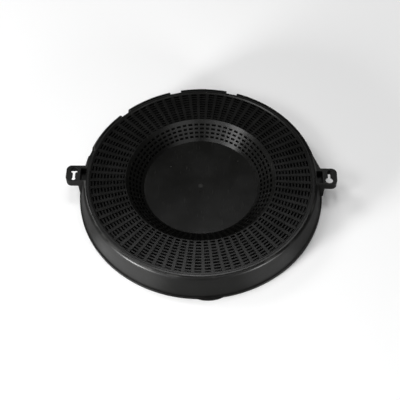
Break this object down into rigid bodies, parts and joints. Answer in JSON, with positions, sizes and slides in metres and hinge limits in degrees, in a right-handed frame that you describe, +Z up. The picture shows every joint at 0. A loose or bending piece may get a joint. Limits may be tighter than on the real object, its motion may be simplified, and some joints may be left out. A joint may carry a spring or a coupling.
{
  "type": "cooker hood carbon filter",
  "caption": "Round black carbon filter for a cooker hood: slotted grille round a sunken bowl, leaning side wall, lip and keyhole ears.",
  "frame": {"origin": "middle of the rear cover's outer face, on the surface that the filter lies on", "axes": "+Z up out of the grille, X through the two ears, -Y towards the finger tab"},
  "size_m": [0.2604, 0.2383, 0.0272],
  "materials": {
    "shell": "black satin moulded plastic with a fine grain",
    "cover": "black satin moulded plastic",
    "carbon": "dull black granules"
  },
  "bodies": {
    "root": {"front_shell": "shell", "rear_cover": "cover", "carbon_charge": "carbon"}
  },
  "joints": []
}
